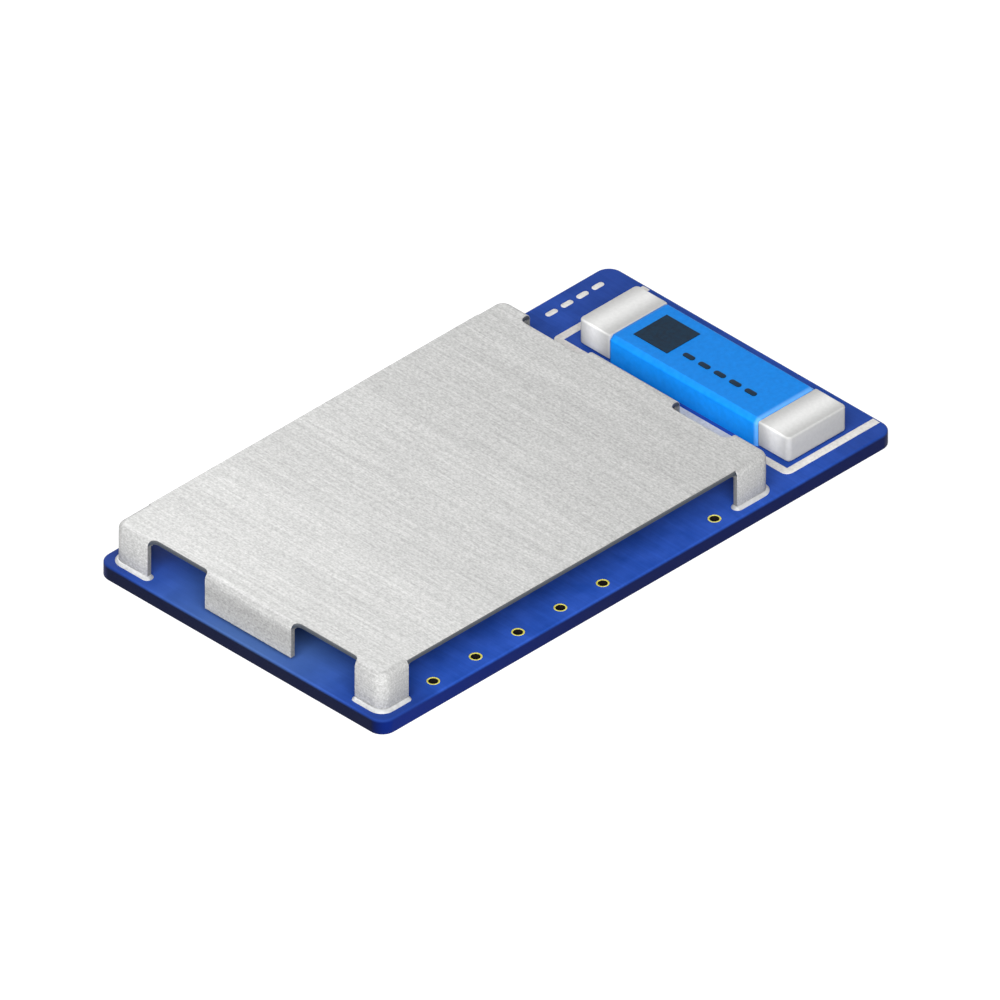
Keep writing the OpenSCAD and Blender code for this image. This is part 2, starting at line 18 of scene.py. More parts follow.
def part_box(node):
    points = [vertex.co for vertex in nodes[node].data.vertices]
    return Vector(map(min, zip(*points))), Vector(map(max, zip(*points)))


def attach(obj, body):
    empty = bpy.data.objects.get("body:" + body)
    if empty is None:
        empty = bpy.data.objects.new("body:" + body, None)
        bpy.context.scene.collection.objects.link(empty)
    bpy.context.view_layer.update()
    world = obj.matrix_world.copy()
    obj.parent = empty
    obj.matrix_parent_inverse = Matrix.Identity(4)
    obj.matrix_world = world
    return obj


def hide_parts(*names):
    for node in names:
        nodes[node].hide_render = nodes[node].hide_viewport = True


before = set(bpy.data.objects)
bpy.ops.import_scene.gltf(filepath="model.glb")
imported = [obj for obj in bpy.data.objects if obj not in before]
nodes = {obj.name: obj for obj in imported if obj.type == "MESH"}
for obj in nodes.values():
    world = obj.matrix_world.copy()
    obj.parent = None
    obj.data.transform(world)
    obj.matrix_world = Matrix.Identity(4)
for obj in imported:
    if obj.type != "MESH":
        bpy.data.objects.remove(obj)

scene = bpy.context.scene
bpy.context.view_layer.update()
MM = 1000  # millimetres in a metre

# %% [markdown]
# ## Camera
# The picture is drawn in isometric projection: edges that run the same way stay parallel, and all
# three axes shrink alike. A perspective camera can't do that, so this one is orthographic and
# looks down a cube's diagonal. Its scale is how much of the object the picture's width holds. The
# aim point sits a little off the origin, because the picture doesn't centre the board exactly.

# %% Camera
VIEW = Vector((-1, -1, 1)).normalized()  # from the object towards the camera
RIGHT, UP = Vector((1, -1, 0)).normalized(), Vector((1, 1, 2)).normalized()  # in the picture
PICTURE_W = 21.526 / MM
AIM = (0.093 * RIGHT + 0.185 * UP) / MM
CAMERA_AWAY, CAMERA_NEAREST = 0.1, 0.001

camera = bpy.data.objects.new("camera", bpy.data.cameras.new("camera"))
camera.data.type = "ORTHO"
camera.data.ortho_scale = PICTURE_W
camera.data.clip_start = CAMERA_NEAREST
camera.location = AIM + VIEW * CAMERA_AWAY
camera.rotation_euler = (-VIEW).to_track_quat("-Z", "Y").to_euler()
scene.collection.objects.link(camera)
scene.camera = camera
scene.view_settings.view_transform = "Standard"
print("Camera: the picture is", round(PICTURE_W * MM, 2), "mm wide")

# %% [markdown]
# ## Nodes and colours
# Blender's shaders work in linear light, but colours are usually written as sRGB hex. One function
# turns one into the other. A second one adds a node, sets it and links it, so that each material
# below reads as a short list. A key that starts with a small letter is a property of the node, and
# any other key is one of its sockets, by name or by number. A link comes from a socket, or from a
# node, which then means the node's first output in use. Settings that come back often have a name.

# %% Nodes and colours
BLEND = {"data_type": "RGBA"}  # Mix: from one colour to another
TINT = {**BLEND, "blend_type": "MULTIPLY", 0: 1}  # Mix: one colour times another
SOFTLY = {"interpolation_type": "SMOOTHSTEP"}  # Map Range: with no hard start or end


def linear(hex_colour):
    values = [int(hex_colour[i:i + 2], 16) / 255 for i in (1, 3, 5)]
    return [v / 12.92 if v < 0.04045 else ((v + 0.055) / 1.055) ** 2.4 for v in values] + [1]


def add_node(tree, kind, settings=None, links=None):
    node = tree.nodes.new("ShaderNode" + kind)
    for key, value in (settings or {}).items():
        if isinstance(key, str) and key[0].islower():
            setattr(node, key, value)
        else:
            node.inputs[key].default_value = value
    for key, source in (links or {}).items():
        if isinstance(source, bpy.types.Node):
            source = next(output for output in source.outputs if output.enabled)
        tree.links.new(source, node.inputs[key])
    return node


print("Mid grey in linear light:", [round(v, 3) for v in linear("#808080")])

# %% [markdown]
# ## Background
# The picture's ground is plain white. More light would get there too, but it would wash out the
# object. So the world has two faces: rays from the camera and from shiny or clear surfaces see
# white, and the rays that light matt surfaces get a softer level.

# %% Background
SKY = 0.1  # level of the light from all round


def seen_directly(tree):
    path = add_node(tree, "LightPath")
    seen = path.outputs["Is Camera Ray"]
    for kind in ("Is Glossy Ray", "Is Transmission Ray"):
        seen = add_node(tree, "Math", {"operation": "MAXIMUM"}, {0: seen, 1: path.outputs[kind]})
    return seen


world = bpy.data.worlds.new("studio")
world.use_nodes = True
scene.world = world
tree = world.node_tree
level = add_node(tree, "MapRange", {"To Min": SKY, "To Max": 1}, {"Value": seen_directly(tree)})
background = tree.nodes["Background"]
background.inputs["Color"].default_value = linear("#ffffff")
tree.links.new(level.outputs[0], background.inputs["Strength"])
print("World: white to the camera,", SKY, "to matt surfaces")

# %% [markdown]
# ## Floor
# The floor works the same way. It is a dull diffuse sheet, and only to the camera and in
# reflections it glows just enough to reach white, so that the object's shadow still shows on it as
# a light grey. A sheet that only glows would be simpler, but it would lose that shadow.

# %% Floor
FLOOR_W, FLOOR_GLOW = 0.6, 0.8
FLOOR_DROP = 0.00001  # a hair below the board, so that the two faces don't fight

# Uncoated white paper: fully matt, so the eye sees nothing on it but the shadow.
paper = bpy.data.materials.new("white_paper")
paper.use_nodes = True
tree = paper.node_tree
tree.nodes.clear()
level = add_node(tree, "Math", {"operation": "MULTIPLY", 1: FLOOR_GLOW}, {0: seen_directly(tree)})
glow = add_node(tree, "Emission", {"Color": linear("#ffffff")}, {"Strength": level})
matt = add_node(tree, "BsdfDiffuse", {"Color": linear("#a0a0a0")})
both = add_node(tree, "AddShader", links={0: glow, 1: matt})
add_node(tree, "OutputMaterial", links={"Surface": both})

bm = bmesh.new()
bmesh.ops.create_grid(bm, x_segments=1, y_segments=1, size=FLOOR_W / 2)
bmesh.ops.translate(bm, vec=(0, 0, -FLOOR_DROP), verts=bm.verts)
floor_mesh = bpy.data.meshes.new("floor")
bm.to_mesh(floor_mesh)
bm.free()
floor_mesh.materials.append(paper)
floor = bpy.data.objects.new("floor", floor_mesh)
scene.collection.objects.link(floor)
print("Floor:", FLOOR_W, "m wide")

# %% [markdown]
# ## Lamps
# A product picture like this is lit by one large soft box beside the camera. It stands a little to
# the left, so left-hand faces are lighter than right-hand ones, and low enough to reach into the
# notches under the can. Reflections don't see it, or every round fold would show it as a white
# blot. A weak box behind the object keeps the far sides from going black. A card above the far end
# is seen by reflections alone: the can's top mirrors it, so the near end is bright and the far end
# falls off.

# %% Lamps
def soft_box(name, place, aim, size, watts):  # place, aim and size in millimetres
    lamp = bpy.data.lights.new(name, "AREA")
    lamp.shape = "RECTANGLE"
    lamp.size, lamp.size_y = (side / MM for side in size)
    lamp.energy = watts
    box = bpy.data.objects.new(name, lamp)
    box.location = Vector(place) / MM
    box.rotation_euler = (Vector(aim) - Vector(place)).to_track_quat("-Z", "Y").to_euler()
    box.visible_camera = False
    scene.collection.objects.link(box)
    print("Lamp:", name, watts, "W")
    return box


front_box = soft_box("front_box", (-58, -48, 61), (0, 0, 0), (110, 60), 0.21)
front_box.visible_glossy = False
fill_box = soft_box("fill_box", (64, 62, 19), (0, 0, 0), (120, 34), 0.035)
fill_box.visible_glossy = False
back_card = soft_box("back_card", (0, 20, 21), (0, 20, 0), (24, 30), 0.005)
back_card.visible_diffuse = False

# %% [markdown]
# ## Grains of a real size
# Nearly every surface here is even from afar and slightly uneven up close: printed, plated, fired
# or moulded. Behind all of them is a noise pattern on Object coordinates, which are fixed to the
# piece. A Mapping node scales it, so that a grain has a real size in millimetres along each axis:
# one size all round gives specks, and one long side gives streaks.

# %% Grains of a real size
NOISE_LOW, NOISE_HIGH = 0.3, 0.7  # nearly all of the noise lies between these two


def grains(tree, size, detail, low=0, high=1):
    sides = size if isinstance(size, tuple) else (size,) * 3
    where = add_node(tree, "TexCoord")
    place = add_node(tree, "Mapping", {"Scale": [MM / side for side in sides]},
                     {"Vector": where.outputs["Object"]})
    noise = add_node(tree, "TexNoise", {"Scale": 1, "Detail": detail}, {"Vector": place})
    return add_node(tree, "MapRange", {"From Min": NOISE_LOW, "From Max": NOISE_HIGH,
                                       "To Min": low, "To Max": high}, {"Value": noise})


print("Grains: noise from", NOISE_LOW, "to", NOISE_HIGH, "is spread over the whole range")

# %% [markdown]
# ## A speckled finish
# One function makes a finish from such grains. They move the colour between two near shades, move
# the roughness between two values and lift the surface by a hair. Whatever is the same all over
# the piece is set directly on the shader.

# %% A speckled finish
SPECK_DETAIL = 3


def speckled(name, shades, grain, roughness, lift=0, **fixed):
    material = bpy.data.materials.new(name)
    material.use_nodes = True
    tree = material.node_tree
    shader = tree.nodes["Principled BSDF"]
    for socket, value in fixed.items():
        shader.inputs[socket.replace("_", " ")].default_value = value
    spread = grains(tree, grain, SPECK_DETAIL)
    darker, lighter = (linear(shade) for shade in shades)
    colour = add_node(tree, "Mix", {**BLEND, 6: darker, 7: lighter}, {0: spread})
    gloss = add_node(tree, "MapRange", {"To Min": roughness[0], "To Max": roughness[1]},
                     {"Value": spread})
    tree.links.new(colour.outputs[2], shader.inputs["Base Color"])
    tree.links.new(gloss.outputs[0], shader.inputs["Roughness"])
    if lift:  # how far the grains rise, in millimetres
        bump = add_node(tree, "Bump", {"Strength": 1, "Distance": lift / MM}, {"Height": spread})
        tree.links.new(bump.outputs[0], shader.inputs["Normal"])
    print("Finish:", name)
    return material


# %% [markdown]
# ## Streaks
# Brushing and printing also leave long streaks. They could be part of the specks, but they are
# coarser and run one way. So they are a second noise, pulled out along one axis, that makes the
# colour a little darker or lighter. A share says how much of it each spot gets.

# %% Streaks
STREAK_DETAIL = 2


def streak(material, grain, darkest, lightest, share=None):
    tree = material.node_tree
    base = tree.nodes["Principled BSDF"].inputs["Base Color"]
    shade = grains(tree, grain, STREAK_DETAIL, darkest, lightest)
    links = {6: base.links[0].from_socket, 7: shade}
    if share is not None:
        links[0] = share
    colour = add_node(tree, "Mix", TINT, links)
    tree.links.new(colour.outputs[2], base)
    print("Streaks:", material.name)


# %% [markdown]
# ## Solder mask
# The board is glass-fibre laminate under a blue lacquer, the solder mask. The lacquer is printed
# wet and cured. One blue with some gloss would do from afar, but a printed film is never quite
# even, so it gets wide soft specks, and faint streaks across the board.

# %% Solder mask
# Cured lacquer over laminate: a deep blue, semi-gloss, that hardly mirrors.
solder_mask = speckled("solder_mask_lacquer", ("#1f4294", "#2b4ea6"), 0.5, (0.4, 0.5),
                       Specular_IOR_Level=0.05)
streak(solder_mask, (0.06, 1.6, 0.5), 0.93, 1.07)

# %% [markdown]
# ## Painted light and shade on the lacquer
# The lacquer is painted paler midway along the near end, where the can's shade falls on the
# board: painted light. It is painted darker in the four corners, most at the near end: painted
# shade. Painted attributes could hold such places. Here they are worked out from Object
# coordinates, which need no painting: how far along the board a spot lies, and how far aside from
# the board's middle line.

# %% Painted light and shade on the lacquer
tree = solder_mask.node_tree
base = tree.nodes["Principled BSDF"].inputs["Base Color"]
where = add_node(tree, "TexCoord")
spot = add_node(tree, "SeparateXYZ", links={0: where.outputs["Object"]})
aside = add_node(tree, "Math", {"operation": "ABSOLUTE"}, {0: spot.outputs["Y"]})
near_end = add_node(tree, "MapRange", {**SOFTLY, "From Min": -5.8 / MM, "From Max": -6.8 / MM},
                    {"Value": spot.outputs["X"]})
far_end = add_node(tree, "MapRange", {**SOFTLY, "From Min": 5.4 / MM, "From Max": 6.8 / MM,
                                      "To Max": 0.55}, {"Value": spot.outputs["X"]})
painted_shade_ends = add_node(tree, "Math", {"operation": "MAXIMUM"}, {0: near_end, 1: far_end})
midway = add_node(tree, "MapRange", {"From Min": 3.6 / MM, "From Max": 0.6 / MM, "To Max": 0.85},
                  {"Value": aside})
to_sides = add_node(tree, "MapRange", {"From Min": 2.4 / MM, "From Max": 3.9 / MM},
                    {"Value": aside})
# Paler midway along the near end: painted light where the can's shade falls.
thin = add_node(tree, "Math", {"operation": "MULTIPLY"}, {0: near_end, 1: midway})
# Darker in the four corners, most at the near end: painted shade.
thick = add_node(tree, "Math", {"operation": "MULTIPLY"}, {0: painted_shade_ends, 1: to_sides})
painted_light_mix = add_node(tree, "Mix", {**BLEND, 7: linear("#405c8e")},
                 {0: thin, 6: base.links[0].from_socket})
painted_shade_mix = add_node(tree, "Mix", {**BLEND, 7: linear("#1d367b")}, {0: thick, 6: painted_light_mix})
tree.links.new(painted_shade_mix.outputs[2], base)
# In the print, thin stands for the painted light and thick for the painted shade.
print("Lacquer: thin midway along one end, thick in the four corners")

# %% [markdown]
# ## Routed edge
# The lacquer stops at the rim. The routed edge below it is bare laminate. It is painted nearly
# black on the short sides, a painted shade, and bluer on the long ones, more so towards the near
# end, a painted light. A second material slot could hold the edge, but it would end in a hard
# line. So one material tells them apart by the surface's own direction, because a face that looks
# sideways is an edge, and by its height.

# %% Routed edge
facing = add_node(tree, "SeparateXYZ", links={0: where.outputs["Normal"]})
flat = add_node(tree, "Math", {"operation": "ABSOLUTE"}, {0: facing.outputs["Z"]})
is_face = add_node(tree, "MapRange", {"From Min": 0.3, "From Max": 0.9}, {"Value": flat})
is_rim = add_node(tree, "MapRange", {**SOFTLY, "From Min": 0.3 / MM, "From Max": 0.38 / MM},
                  {"Value": spot.outputs["Z"]})
is_blue = add_node(tree, "Math", {"operation": "MAXIMUM"}, {0: is_face, 1: is_rim})
is_long = add_node(tree, "Math", {"operation": "ABSOLUTE"}, {0: facing.outputs["Y"]})
# On the long edges, bluer towards the near end: painted light.
painted_light_near_end = add_node(tree, "MapRange", {"From Min": -1 / MM, "From Max": -7 / MM},
                   {"Value": spot.outputs["X"]})
film = add_node(tree, "Mix", {**BLEND, 6: linear("#061344"), 7: linear("#081f68")}, {0: painted_light_near_end})
# On the short edges, nearly black: painted shade.
edge = add_node(tree, "Mix", {**BLEND, 6: linear("#050c29")}, {0: is_long, 7: film})
colour = add_node(tree, "Mix", BLEND, {0: is_blue, 6: edge, 7: base.links[0].from_socket})
tree.links.new(colour.outputs[2], base)
print("Solder mask:", len(tree.nodes), "nodes")

# %% [markdown]
# ## From solids to meshes
# Blender's mesh tools have tolerances that suit furniture better than a part this small, so every
# mesh is shaped in millimetres and shrunk to metres at the end. A new piece starts from a solid's
# box or from a copy of its mesh. That mesh is loose triangles, so in the copy double points are
# merged, and flat areas are dissolved into the large faces that a bevel needs.

# %% From solids to meshes
DOUBLE = 0.0001  # points closer than this are merged, in millimetres
FLAT = radians(1)  # faces that turn less than this are dissolved into one


def box_mm(node):
    low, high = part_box(node)
    return low * MM, high * MM


def merged_copy(node):
    bm = bmesh.new()
    bm.from_mesh(nodes[node].data)
    bmesh.ops.scale(bm, vec=(MM,) * 3, verts=bm.verts)
    bmesh.ops.remove_doubles(bm, verts=bm.verts, dist=DOUBLE)
    bmesh.ops.dissolve_limit(bm, angle_limit=FLAT, verts=bm.verts, edges=bm.edges)
    return bm


print("Board in mm:", *([round(v, 2) for v in corner] for corner in box_mm("circuit_board")))

# %% [markdown]
# ## Soft edges
# No made edge is perfectly sharp, and a soft one catches a line of light. Bevel rounds the chosen
# edges in a few segments. It can be clamped, which shrinks its width to what the shortest edge
# allows. That keeps most meshes clean, but it can undo the effect, so a piece may switch it off.
# The edges are mostly chosen by the angle between their two faces.

# %% Soft edges
SHARP = 50  # degrees above which an edge counts as sharp


def sharp_edges(bm, degrees=SHARP):
    return [e for e in bm.edges if e.is_manifold and e.calc_face_angle() > radians(degrees)]


def ease(bm, edges, width, segments, clamp=True):
    return bmesh.ops.bevel(bm, geom=list(edges), offset=width, offset_type="OFFSET",
                           affect="EDGES", segments=segments, profile=0.5,
                           clamp_overlap=clamp, material=-1)["faces"]


print("Edges: sharp above", SHARP, "degrees")

# %% [markdown]
# ## Finishing a piece
# The last helper turns a bmesh into a finished piece. It points the faces outwards, shrinks the
# mesh to metres and evens the shading of flat faces next to round ones, which a modifier does
# better than more edges would. Then it puts the piece on the frame's body and hides the solid that
# it stands for.

# %% Finishing a piece
def add_piece(name, bm, slot, materials, *replaced):
    bmesh.ops.recalc_face_normals(bm, faces=bm.faces)
    bmesh.ops.scale(bm, vec=(1 / MM,) * 3, verts=bm.verts)
    mesh = bpy.data.meshes.new(name)
    bm.to_mesh(mesh)
    bm.free()
    if "custom_normal" in mesh.attributes:  # left over from a solid's mesh
        mesh.attributes.remove(mesh.attributes["custom_normal"])
    for material in materials:
        mesh.materials.append(material)
    mesh.shade_smooth()
    mesh.set_sharp_from_angle(angle=radians(SHARP))
    piece = bpy.data.objects.new(name, mesh)
    scene.collection.objects.link(piece)
    evened = piece.modifiers.new("evened_shading", "WEIGHTED_NORMAL")
    evened.keep_sharp = True
    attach(piece, "root")
    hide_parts(*replaced)
    print("Piece:", name, len(mesh.polygons), "faces, stands for", ", ".join(replaced))


# %% [markdown]
# ## Circuit board
# The board could be drawn again from a rectangle, but its drilled holes and the pockets for its
# lands are already exact in the frame, so a merged copy of that solid is the better start. Only
# its outline is eased, above and below, because a routed board has no knife edges.

# %% Circuit board
TOP_RIM_R, BOTTOM_RIM_R, RIM_STEPS = 0.05, 0.03, 4
CORNER_REACH = 0.35  # a point whose gaps to two sides add up to less lies on a round corner
TOUCH = 0.001  # two places closer than this count as one, in millimetres

low, high = box_mm("circuit_board")
bm = merged_copy("circuit_board")


def on_outline(vert):
    gap_x = min(abs(vert.co.x - low.x), abs(vert.co.x - high.x))
    gap_y = min(abs(vert.co.y - low.y), abs(vert.co.y - high.y))
    return min(gap_x, gap_y) < TOUCH or gap_x + gap_y < CORNER_REACH


for z, radius in ((high.z, TOP_RIM_R), (low.z, BOTTOM_RIM_R)):
    rim = [e for e in sharp_edges(bm)
           if all(on_outline(v) and abs(v.co.z - z) < TOUCH for v in e.verts)]
    ease(bm, rim, radius, RIM_STEPS)
add_piece("board_laminate", bm, "solder_mask", [solder_mask], "circuit_board")

# %% [markdown]
# ## Separate solids of a node
# One node of the frame can hold many like solids, such as all vias or all dashes of the print.
# Their places could be typed in again, but then they would no longer follow the frame. So this
# helper walks along the edges of a merged copy from point to point, and measures each solid it
# finds.

# %% Separate solids of a node
def solid_boxes(node):
    bm = merged_copy(node)
    left, boxes = set(bm.verts), []
    while left:
        solid, reached = set(), {left.pop()}
        while reached:
            solid |= reached
            reached = {e.other_vert(v) for v in reached for e in v.link_edges} - solid
        left -= solid
        boxes.append(tuple(Vector(pick(v.co[axis] for v in solid) for axis in range(3))
                           for pick in (min, max)))
    bm.free()
    return sorted(boxes, key=lambda box: box[0][:])


print("Vias:", len(solid_boxes("via_barrels")))

# %% [markdown]
# ## Vias
# A via is a drilled hole with a copper wall and a flat ring at each end, plated with a little
# gold. A ring could be cut from a disc, but a turned shape is what spin is for: a few points draw
# half of the section, and one full turn round the hole's middle makes the barrel.

# %% Vias
VIA_HOLE_R, VIA_DRILL_R, VIA_LIP = 0.11, 0.125, 0.005
COPPER_T, VIA_STEPS = 0.03, 32

# Gold over nickel on copper: a warm, slightly green yellow that mirrors softly.
via_gold = speckled("gold_on_copper", ("#e4da4a", "#f6ef84"), 0.05, (0.25, 0.4), Metallic=0.35)
# The wall down in the hole is copper painted almost black: a painted shade in the hole.
via_hole_shade = speckled("hole_painted_shade", ("#0b0a09", "#1a1613"), 0.05, (0.6, 0.8),
                    Specular_IOR_Level=0.1)

bm = bmesh.new()
for ring_low, ring_high in solid_boxes("via_barrels"):
    middle, ring_r = (ring_low + ring_high) / 2, (ring_high.x - ring_low.x) / 2
    half = (ring_high.z - ring_low.z) / 2
    upper = [(VIA_DRILL_R, half - COPPER_T), (ring_r, half - COPPER_T), (ring_r, half - VIA_LIP),
             (ring_r - VIA_LIP, half), (VIA_HOLE_R + VIA_LIP, half), (VIA_HOLE_R, half - VIA_LIP)]
    section = upper + [(r, -z) for r, z in reversed(upper)]
    points = [bm.verts.new(middle + Vector((r, 0, z))) for r, z in section]
    edges = [bm.edges.new((a, b)) for a, b in zip(points, points[1:] + points[:1])]
    bmesh.ops.spin(bm, geom=points + edges, cent=middle, axis=(0, 0, 1), angle=2 * pi,
                   steps=VIA_STEPS, use_merge=True)
    for face in bm.faces:
        if (face.calc_center_median() - middle).xy.length < VIA_HOLE_R + VIA_LIP / 4:
            # Faces down in the hole take the painted shade.
            face.material_index = 1
add_piece("via_rings", bm, "gold_copper", [via_gold, via_hole_shade], "via_barrels")

# %% [markdown]
# ## White line
# The white line round the antenna is legend ink, pressed through a screen. The ink is thick enough
# to have an edge, and its corners draw in a little. Three blocks would make such a line, with
# seams where they meet. So it starts as a grid of one face, whose two free corners are rounded.
# Planes cut it where the line's inner sides run, the middle is deleted, and the rest is raised to
# the ink's thickness.

# %% White line
LINE_W, LINE_CORNER_R, LINE_GAP, LINE_STEPS = 0.2, 0.18, 0.02, 8
INK_EASE, INK_STEPS = 0.006, 2

# Screen-printed epoxy ink: a soft, slightly warm white with a faint tooth.
white_ink = speckled("legend_ink_white", ("#c2c0bd", "#d9d7d4"), 0.06, (0.5, 0.7), 0.001)

low, high = box_mm("frame_print")
board_end = box_mm("circuit_board")[1].x
high.x = min(high.x, board_end - TOP_RIM_R - LINE_GAP)  # ink doesn't hold on the rounded rim
middle_x, middle_y = (low.x + high.x) / 2, (low.y + high.y) / 2
inner_x, inner_low_y, inner_high_y = low.x + LINE_W, low.y + LINE_W, high.y - LINE_W
bm = bmesh.new()
bmesh.ops.create_grid(bm, x_segments=1, y_segments=1, size=0.5)
bmesh.ops.scale(bm, vec=(high.x - low.x, high.y - low.y, 1), verts=bm.verts)
bmesh.ops.translate(bm, vec=(middle_x, middle_y, low.z), verts=bm.verts)
bmesh.ops.bevel(bm, geom=[v for v in bm.verts if v.co.x < middle_x], offset=LINE_CORNER_R,
                offset_type="OFFSET", affect="VERTICES", segments=LINE_STEPS, profile=0.5,
                material=-1)
for place, across in (((inner_x, 0, 0), (1, 0, 0)), ((0, inner_low_y, 0), (0, 1, 0)),
                      ((0, inner_high_y, 0), (0, 1, 0))):
    bmesh.ops.bisect_plane(bm, geom=bm.verts[:] + bm.edges[:] + bm.faces[:], plane_co=place,
                           plane_no=across)
centres = {face: face.calc_center_median() for face in bm.faces}
inside = [face for face, centre in centres.items()
          if centre.x > inner_x and inner_low_y < centre.y < inner_high_y]
bmesh.ops.delete(bm, geom=inside, context="FACES")
raised = bmesh.ops.extrude_face_region(bm, geom=bm.faces[:])["geom"]
bmesh.ops.translate(bm, vec=(0, 0, high.z - low.z),
                    verts=[v for v in raised if isinstance(v, bmesh.types.BMVert)])
upper = [e for e in sharp_edges(bm) if all(v.co.z > low.z + TOUCH for v in e.verts)]
ease(bm, upper, INK_EASE, INK_STEPS)
add_piece("antenna_outline", bm, "white_ink", [white_ink], "frame_print")

# %% [markdown]
# ## Dashes
# Beside the antenna is a row of plain dashes in the same ink, and the antenna has a row of its
# own. A dash is a block. Ink flows round at the ends of a stroke, so its upright edges are eased
# almost to half its width, and then its upper edges by a hair.

# %% Dashes
DASH_ROUND, DASH_STEPS = 0.45, 6  # the rounding as a share of a dash's width


def block(bm, low, high):
    made = bmesh.ops.create_cube(bm, size=1)["verts"]
    bmesh.ops.scale(bm, vec=high - low, verts=made)
    bmesh.ops.translate(bm, vec=(low + high) / 2, verts=made)
    return made


def dashes(node):
    bm = bmesh.new()
    for low, high in solid_boxes(node):
        upright = {e for v in block(bm, low, high) for e in v.link_edges
                   if abs(e.verts[0].co.z - e.verts[1].co.z) > TOUCH}
        ease(bm, upright, min(high.x - low.x, high.y - low.y) * DASH_ROUND, DASH_STEPS)
    top = box_mm(node)[1].z
    upper = [e for e in sharp_edges(bm) if all(v.co.z > top - TOUCH for v in e.verts)]
    ease(bm, upper, INK_EASE, INK_STEPS)
    return bm


add_piece("board_dashes", dashes("board_print"), "white_ink", [white_ink], "board_print")

# %% [markdown]
# ## Brushed sheet
# The can is pressed from thin tinned steel sheet that was rolled and brushed, so fine lines run
# across it. Anisotropic gloss is the usual way to show brushing, but it says nothing about single
# lines, and at this size they are what the eye reads. So they are streaks in the colour: fine
# ones, and broad faint ones on top.

# %% Brushed sheet
# Brushed tinplate: a pale grey metal, bright but blurred, with lines along Y. Real brush lines are
# about 0.01 mm wide, which a picture of this size can't hold, so they are drawn four times as wide.
can_sheet = speckled("brushed_tinplate", ("#a0a09f", "#c1c1c0"), (0.035, 0.06, 0.035), (0.48, 0.56),
                     0.0003)
streak(can_sheet, (0.04, 1.8, 0.04), 0.9, 1.1)
streak(can_sheet, (0.9, 7, 0.9), 0.96, 1.04)

# %% [markdown]
# ## Rubbed legs, and painted shade on the tabs
# The die rubs the folded legs matt and gritty, while the top keeps the sheen of the brushed sheet.
# Under the fold of each tab a darker band is painted, which fades towards the tab's end: a
# painted shade. Separate materials would show a seam along every fold. So the same material
# changes with the surface's direction, and for the painted shade with the height as well.

# %% Rubbed legs, and painted shade on the tabs
tree = can_sheet.node_tree
shader = tree.nodes["Principled BSDF"]
base = shader.inputs["Base Color"]
where = add_node(tree, "TexCoord")
facing = add_node(tree, "SeparateXYZ", links={0: where.outputs["Normal"]})
flat = add_node(tree, "Math", {"operation": "ABSOLUTE"}, {0: facing.outputs["Z"]})
sheen = add_node(tree, "MapRange", {"To Min": 0.1, "To Max": 0.6}, {"Value": flat})
tree.links.new(sheen.outputs[0], shader.inputs["Metallic"])
upright = add_node(tree, "Math", {"operation": "SUBTRACT", 0: 1}, {1: flat})
streak(can_sheet, 0.06, 0.84, 1.12, upright.outputs[0])

spot = add_node(tree, "SeparateXYZ", links={0: where.outputs["Object"]})
ahead = add_node(tree, "Math", {"operation": "ABSOLUTE"}, {0: facing.outputs["X"]})
aside = add_node(tree, "Math", {"operation": "ABSOLUTE"}, {0: spot.outputs["Y"]})
midway = add_node(tree, "MapRange", {"From Min": 2.4 / MM, "From Max": 2 / MM}, {"Value": aside})
on_tab = add_node(tree, "Math", {"operation": "MULTIPLY", "use_clamp": True}, {0: midway, 1: ahead})
# A darker band under each tab's fold, fading towards its end: painted shade.
band = add_node(tree, "MapRange", {**SOFTLY, "From Min": 1.3 / MM, "From Max": 1.05 / MM,
                                   "To Min": 1, "To Max": 0.75}, {"Value": spot.outputs["Z"]})
fading = add_node(tree, "MapRange", {**SOFTLY, "From Min": 0.95 / MM, "From Max": 0.5 / MM,
                                     "To Max": 0.13}, {"Value": spot.outputs["Z"]})
painted_tab_shade = add_node(tree, "Math", {"operation": "ADD"}, {0: band, 1: fading})
colour = add_node(tree, "Mix", TINT, {0: on_tab, 6: base.links[0].from_socket, 7: painted_tab_shade})
tree.links.new(colour.outputs[2], base)
print("Sheet:", len(tree.nodes), "nodes")

# %% [markdown]
# ## Sheared edge
# Where the die sheared the sheet, the metal is ripped, dull and darker. The lips under the top get
# a painted shade, darker towards their lower side, and a painted blue reflection of the board
# below them. The sides of legs and tabs keep the plain grey. The lips lie at the height of the
# top, so the height alone tells them apart.

# %% Sheared edge
# Sheared steel: a dull mid grey that is rough to the light. The lips get a painted bluish shade.
can_cut = speckled("sheared_steel", ("#7f7e79", "#9b9a94"), 0.04, (0.5, 0.7), 0.002, Metallic=0.5)
tree = can_cut.node_tree
base = tree.nodes["Principled BSDF"].inputs["Base Color"]
where = add_node(tree, "TexCoord")
spot = add_node(tree, "SeparateXYZ", links={0: where.outputs["Object"]})
on_lip = add_node(tree, "MapRange", {"From Min": 1.2 / MM, "From Max": 1.26 / MM},
                  {"Value": spot.outputs["Z"]})
# Darker towards the lower side of each lip: painted shade.
painted_lip_shade = add_node(tree, "MapRange", {"From Min": 1.38 / MM, "From Max": 1.3 / MM, "To Min": 0.6},
                {"Value": spot.outputs["Z"]})
share = add_node(tree, "Math", {"operation": "MULTIPLY"}, {0: on_lip, 1: painted_lip_shade})
# The lips are multiplied by a blue grey: painted shade and a painted reflection of the board.
colour = add_node(tree, "Mix", {**TINT, 7: linear("#828da4")},
                  {0: share, 6: base.links[0].from_socket})
tree.links.new(colour.outputs[2], base)

